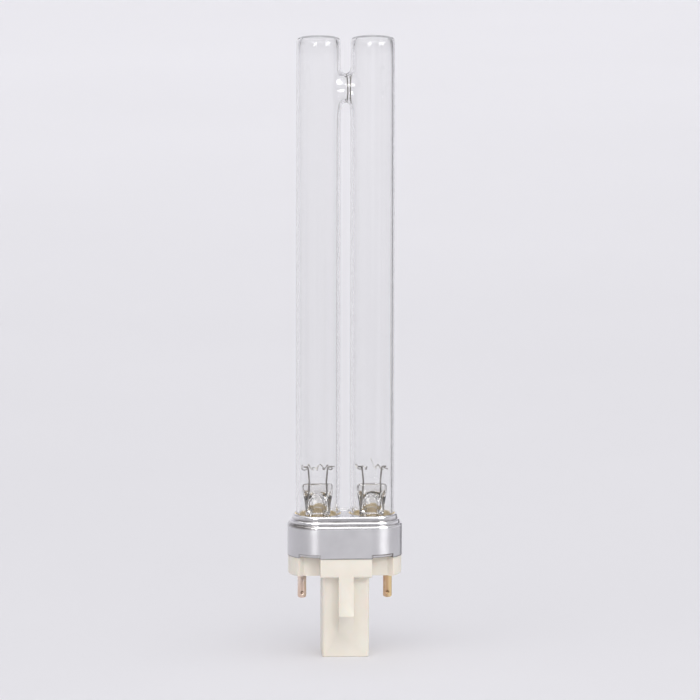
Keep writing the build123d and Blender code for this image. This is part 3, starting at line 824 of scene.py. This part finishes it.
def softbox(name, azimuth, elevation, distance, wide, high, watts, target=(0, 0, 0.08)):
    """A rectangular studio light, so many degrees round and up, aimed at the lamp or at another point."""
    lamp = bpy.data.lights.new(name, "AREA")
    lamp.shape = "RECTANGLE"
    lamp.size = wide
    lamp.size_y = high
    lamp.energy = watts
    made = bpy.data.objects.new(name, lamp)
    turn, rise = radians(azimuth), radians(elevation)
    aim = Vector((sin(turn) * cos(rise), -cos(turn) * cos(rise), sin(rise)))
    made.location = Vector(target) + distance * aim
    made.rotation_euler = aim.to_track_quat("Z", "Y").to_euler()
    bpy.context.collection.objects.link(made)
    return made


# Key and fill show only in what is glossy; much wider ones in their place light the rest, almost without
# a shadow.
softbox("key_right", 54, 30, 1.5, 0.7, 0.6, 12).visible_diffuse = False
softbox("fill_left", -24, 30, 1.5, 0.5, 0.6, 7.4).visible_diffuse = False
for wash in (
    softbox("wash_right", 50, 28, 1.7, 3.4, 2.0, 11.0),
    softbox("wash_left", -26, 30, 1.7, 3.0, 2.0, 15.0),
):
    wash.visible_glossy = False
    wash.visible_transmission = False
# A smaller one models the moulding alone, so that its ribs shade the post and the floor stays clear.
form = softbox("form_right", 33, 28, 1.2, 0.22, 0.22, 2.6)
form.light_linking.receiver_collection = bpy.data.collections.new("moulding")
form.light_linking.receiver_collection.objects.link(base)
# A wide panel overhead shows only in the metal, as the bright bands of the rim.
panel_light = softbox("top_panel", -6, 60, 1.3, 2.2, 1.4, 9)
panel_light.visible_diffuse = False
panel_light.visible_transmission = False
# Two small lights, high up, show only as white spots on the crowns and the neck.
for name, azimuth in (("catch_right", 84), ("catch_left", -18)):
    softbox(name, azimuth, 60, 1.45, 0.15, 0.15, 2.4).visible_diffuse = False
# The last lights the paper behind.
softbox("background", 0, 50, 1.6, 2.0, 0.8, 11, target=(0, 2.2, 0.3))

world = bpy.data.worlds.new("studio")
bpy.context.scene.world = world
world.use_nodes = True
place = add(world, "ShaderNodeTexCoord")
# The tent is brightest overhead and darker towards the camera.
ways = add(world, "ShaderNodeSeparateXYZ", links={"Vector": place.outputs["Generated"]})
behind = add(world, "ShaderNodeMapRange", {"From Min": -0.45, "From Max": 0.35}, {"Value": ways.outputs["Y"]})
overhead = add(world, "ShaderNodeMapRange", {"From Min": 0.3, "From Max": 0.9}, {"Value": ways.outputs["Z"]})
sides_of_tent = add(
    world,
    "ShaderNodeValToRGB",
    links={"Fac": behind.outputs["Result"]},
    stops=[(0.0, "#a8a7aa"), (1.0, "#e6e5e8")],
)
tent = add(
    world,
    "ShaderNodeMix",
    {"B": (1.15, 1.15, 1.16, 1)},
    {"Factor": overhead.outputs["Result"], "A": sides_of_tent.outputs["Color"]},
    data_type="RGBA",
)
sky = world.node_tree.nodes["Background"]
world.node_tree.links.new(tent.outputs["Result"], sky.inputs["Color"])
sky.inputs["Strength"].default_value = 0.7
bpy.context.scene.cycles.max_bounces = 32
bpy.context.scene.cycles.transmission_bounces = 32
bpy.context.scene.view_settings.view_transform = "Standard"

# A dark flag stands to the right behind the lamp, unseen by the camera itself, and draws the line down the
# glass's right edge.
card = finish("black_card", Roughness=0.9)
place = add(card, "ShaderNodeTexCoord")
nap = add(card, "ShaderNodeTexNoise", {"Scale": 60.0, "Detail": 3.0}, {"Vector": place.outputs["Object"]})
dark = add(
    card, "ShaderNodeValToRGB", links={"Fac": nap.outputs["Fac"]}, stops=[(0.3, "#6e6e70"), (0.7, "#78787a")]
)
into(card, Base_Color=dark.outputs["Color"])
flag_y, flag_foot, flag_height = 0.05, 0.001, 0.2
panel = bmesh.new()
foot_edge = panel.edges.new([panel.verts.new((x, flag_y, flag_foot)) for x in (0.042, 0.062)])
grown = bmesh.ops.extrude_edge_only(panel, edges=[foot_edge])["geom"]
bmesh.ops.translate(panel, vec=(0, 0, flag_height), verts=points_of(grown))
mesh = bpy.data.meshes.new("black_flag")
panel.to_mesh(mesh)
panel.free()
mesh.materials.append(card)
flag = bpy.data.objects.new("black_flag", mesh)
bpy.context.collection.objects.link(flag)
flag.visible_camera = False
flag.visible_diffuse = False
flag.visible_shadow = False

# Camera, at the photograph's view: a long lens, a little above the lamp and a little to its left, at the
# distance where a metre at the lamp takes up as many pixels as it does there.
distance = 2.6
aim_z, shift_x = 0.0826, 0.0013
pixels, pixels_a_metre = 700, 3735
view = bpy.data.cameras.new("view")
view.sensor_width = 36
view.lens = view.sensor_width * distance / (pixels / pixels_a_metre)
camera = bpy.data.objects.new("view", view)
turn, rise = radians(-3), radians(9.5)
aim = Vector((sin(turn) * cos(rise), -cos(turn) * cos(rise), sin(rise)))
roll = Matrix.Rotation(radians(0.12), 3, "Z").to_quaternion()
camera.rotation_euler = (aim.to_track_quat("Z", "Y") @ roll).to_euler()
sideways = camera.rotation_euler.to_matrix() @ Vector((1, 0, 0))
camera.location = Vector((0, 0, aim_z)) + distance * aim + shift_x * sideways
bpy.context.collection.objects.link(camera)
bpy.context.scene.camera = camera
